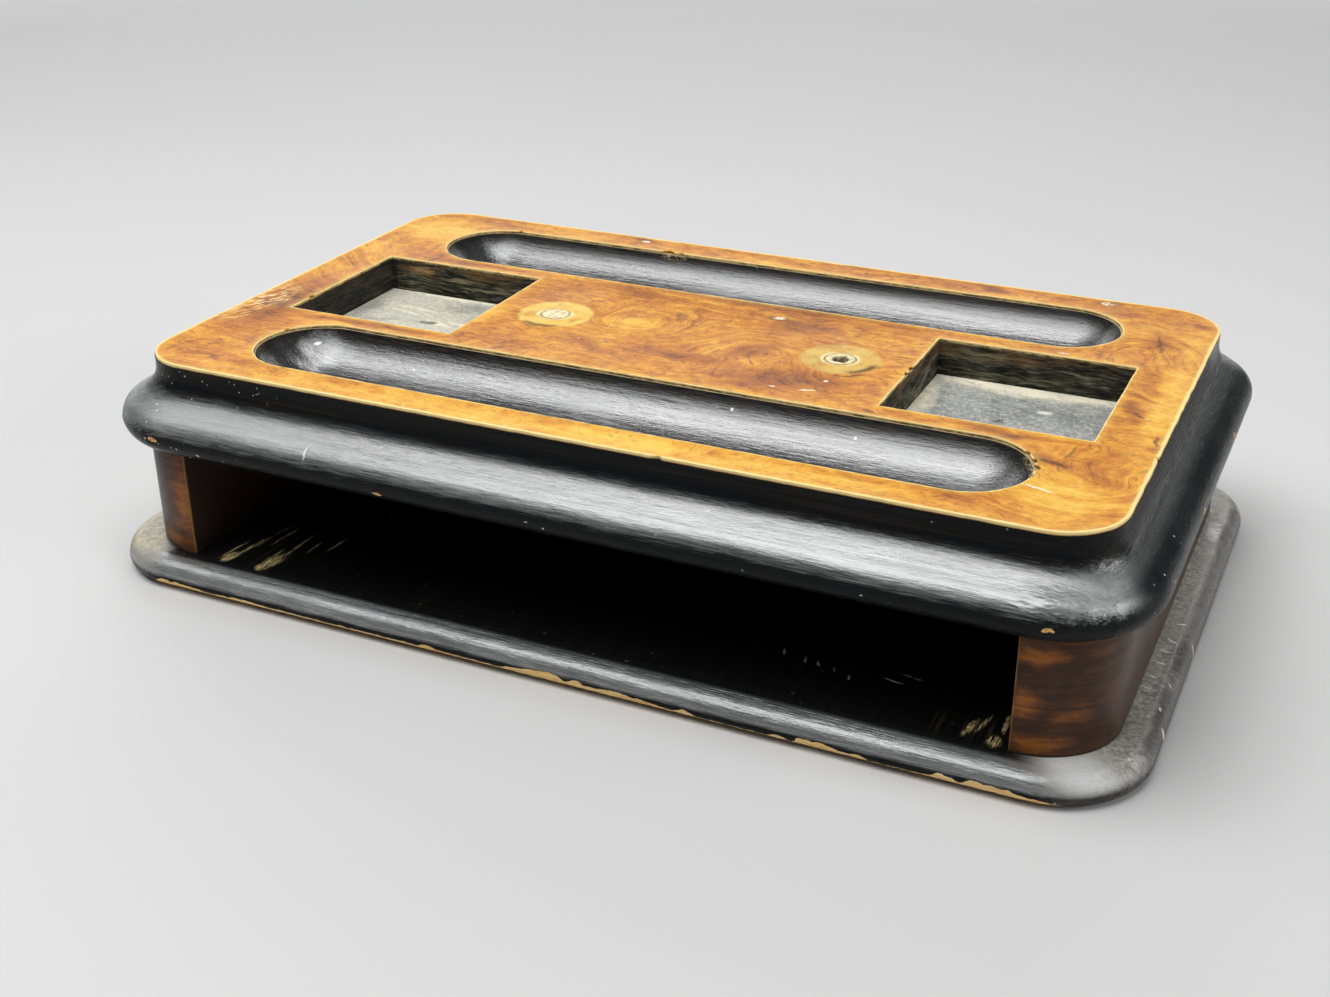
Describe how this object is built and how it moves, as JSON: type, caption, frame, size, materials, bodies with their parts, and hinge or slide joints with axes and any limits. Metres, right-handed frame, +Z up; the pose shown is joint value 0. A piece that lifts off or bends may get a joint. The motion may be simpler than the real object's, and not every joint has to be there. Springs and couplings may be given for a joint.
{
  "type": "desk inkstand",
  "caption": "Low oblong desk inkstand: pen troughs and bottle wells in a veneered top with a black moulding, over an open drawer bay on a black base.",
  "frame": {"origin": "centre of the underside, on the surface that the inkstand stands on", "axes": "+X to the right seen from the front, along the troughs; +Y from the open drawer bay to the back; +Z up"},
  "size_m": [0.329, 0.204, 0.0707],
  "materials": {
    "burr_walnut": "burr walnut veneer, worn wax polish",
    "straight_walnut": "walnut veneer, polished",
    "ebonised": "black stained and polished, satin",
    "ebonised_board": "black stained and polished in the troughs, brown stained in the wells",
    "stained_carcase": "brown stained, unpolished",
    "softwood": "bare planed softwood",
    "well_panel": "bare, greyed with dust",
    "plug_wood": "pale end grain, unpolished",
    "screw_steel": "dull steel",
    "baize": "dark wool baize"
  },
  "bodies": {
    "root": {"top_veneer": "burr_walnut", "top_board": "ebonised_board", "top_moulding_front": "ebonised", "top_moulding_back": "ebonised", "top_moulding_left": "ebonised", "top_moulding_right": "ebonised", "left_well_floor": "well_panel", "right_well_floor": "well_panel", "left_handle_plug": "plug_wood", "right_handle_plug": "plug_wood", "left_end": "stained_carcase", "right_end": "stained_carcase", "left_end_veneer": "straight_walnut", "right_end_veneer": "straight_walnut", "back_rail": "stained_carcase", "back_veneer": "straight_walnut", "glue_blocks": "softwood", "drawer_stops": "softwood", "base_board": "ebonised", "base_screws": "screw_steel", "base_lining": "baize"}
  },
  "joints": []
}
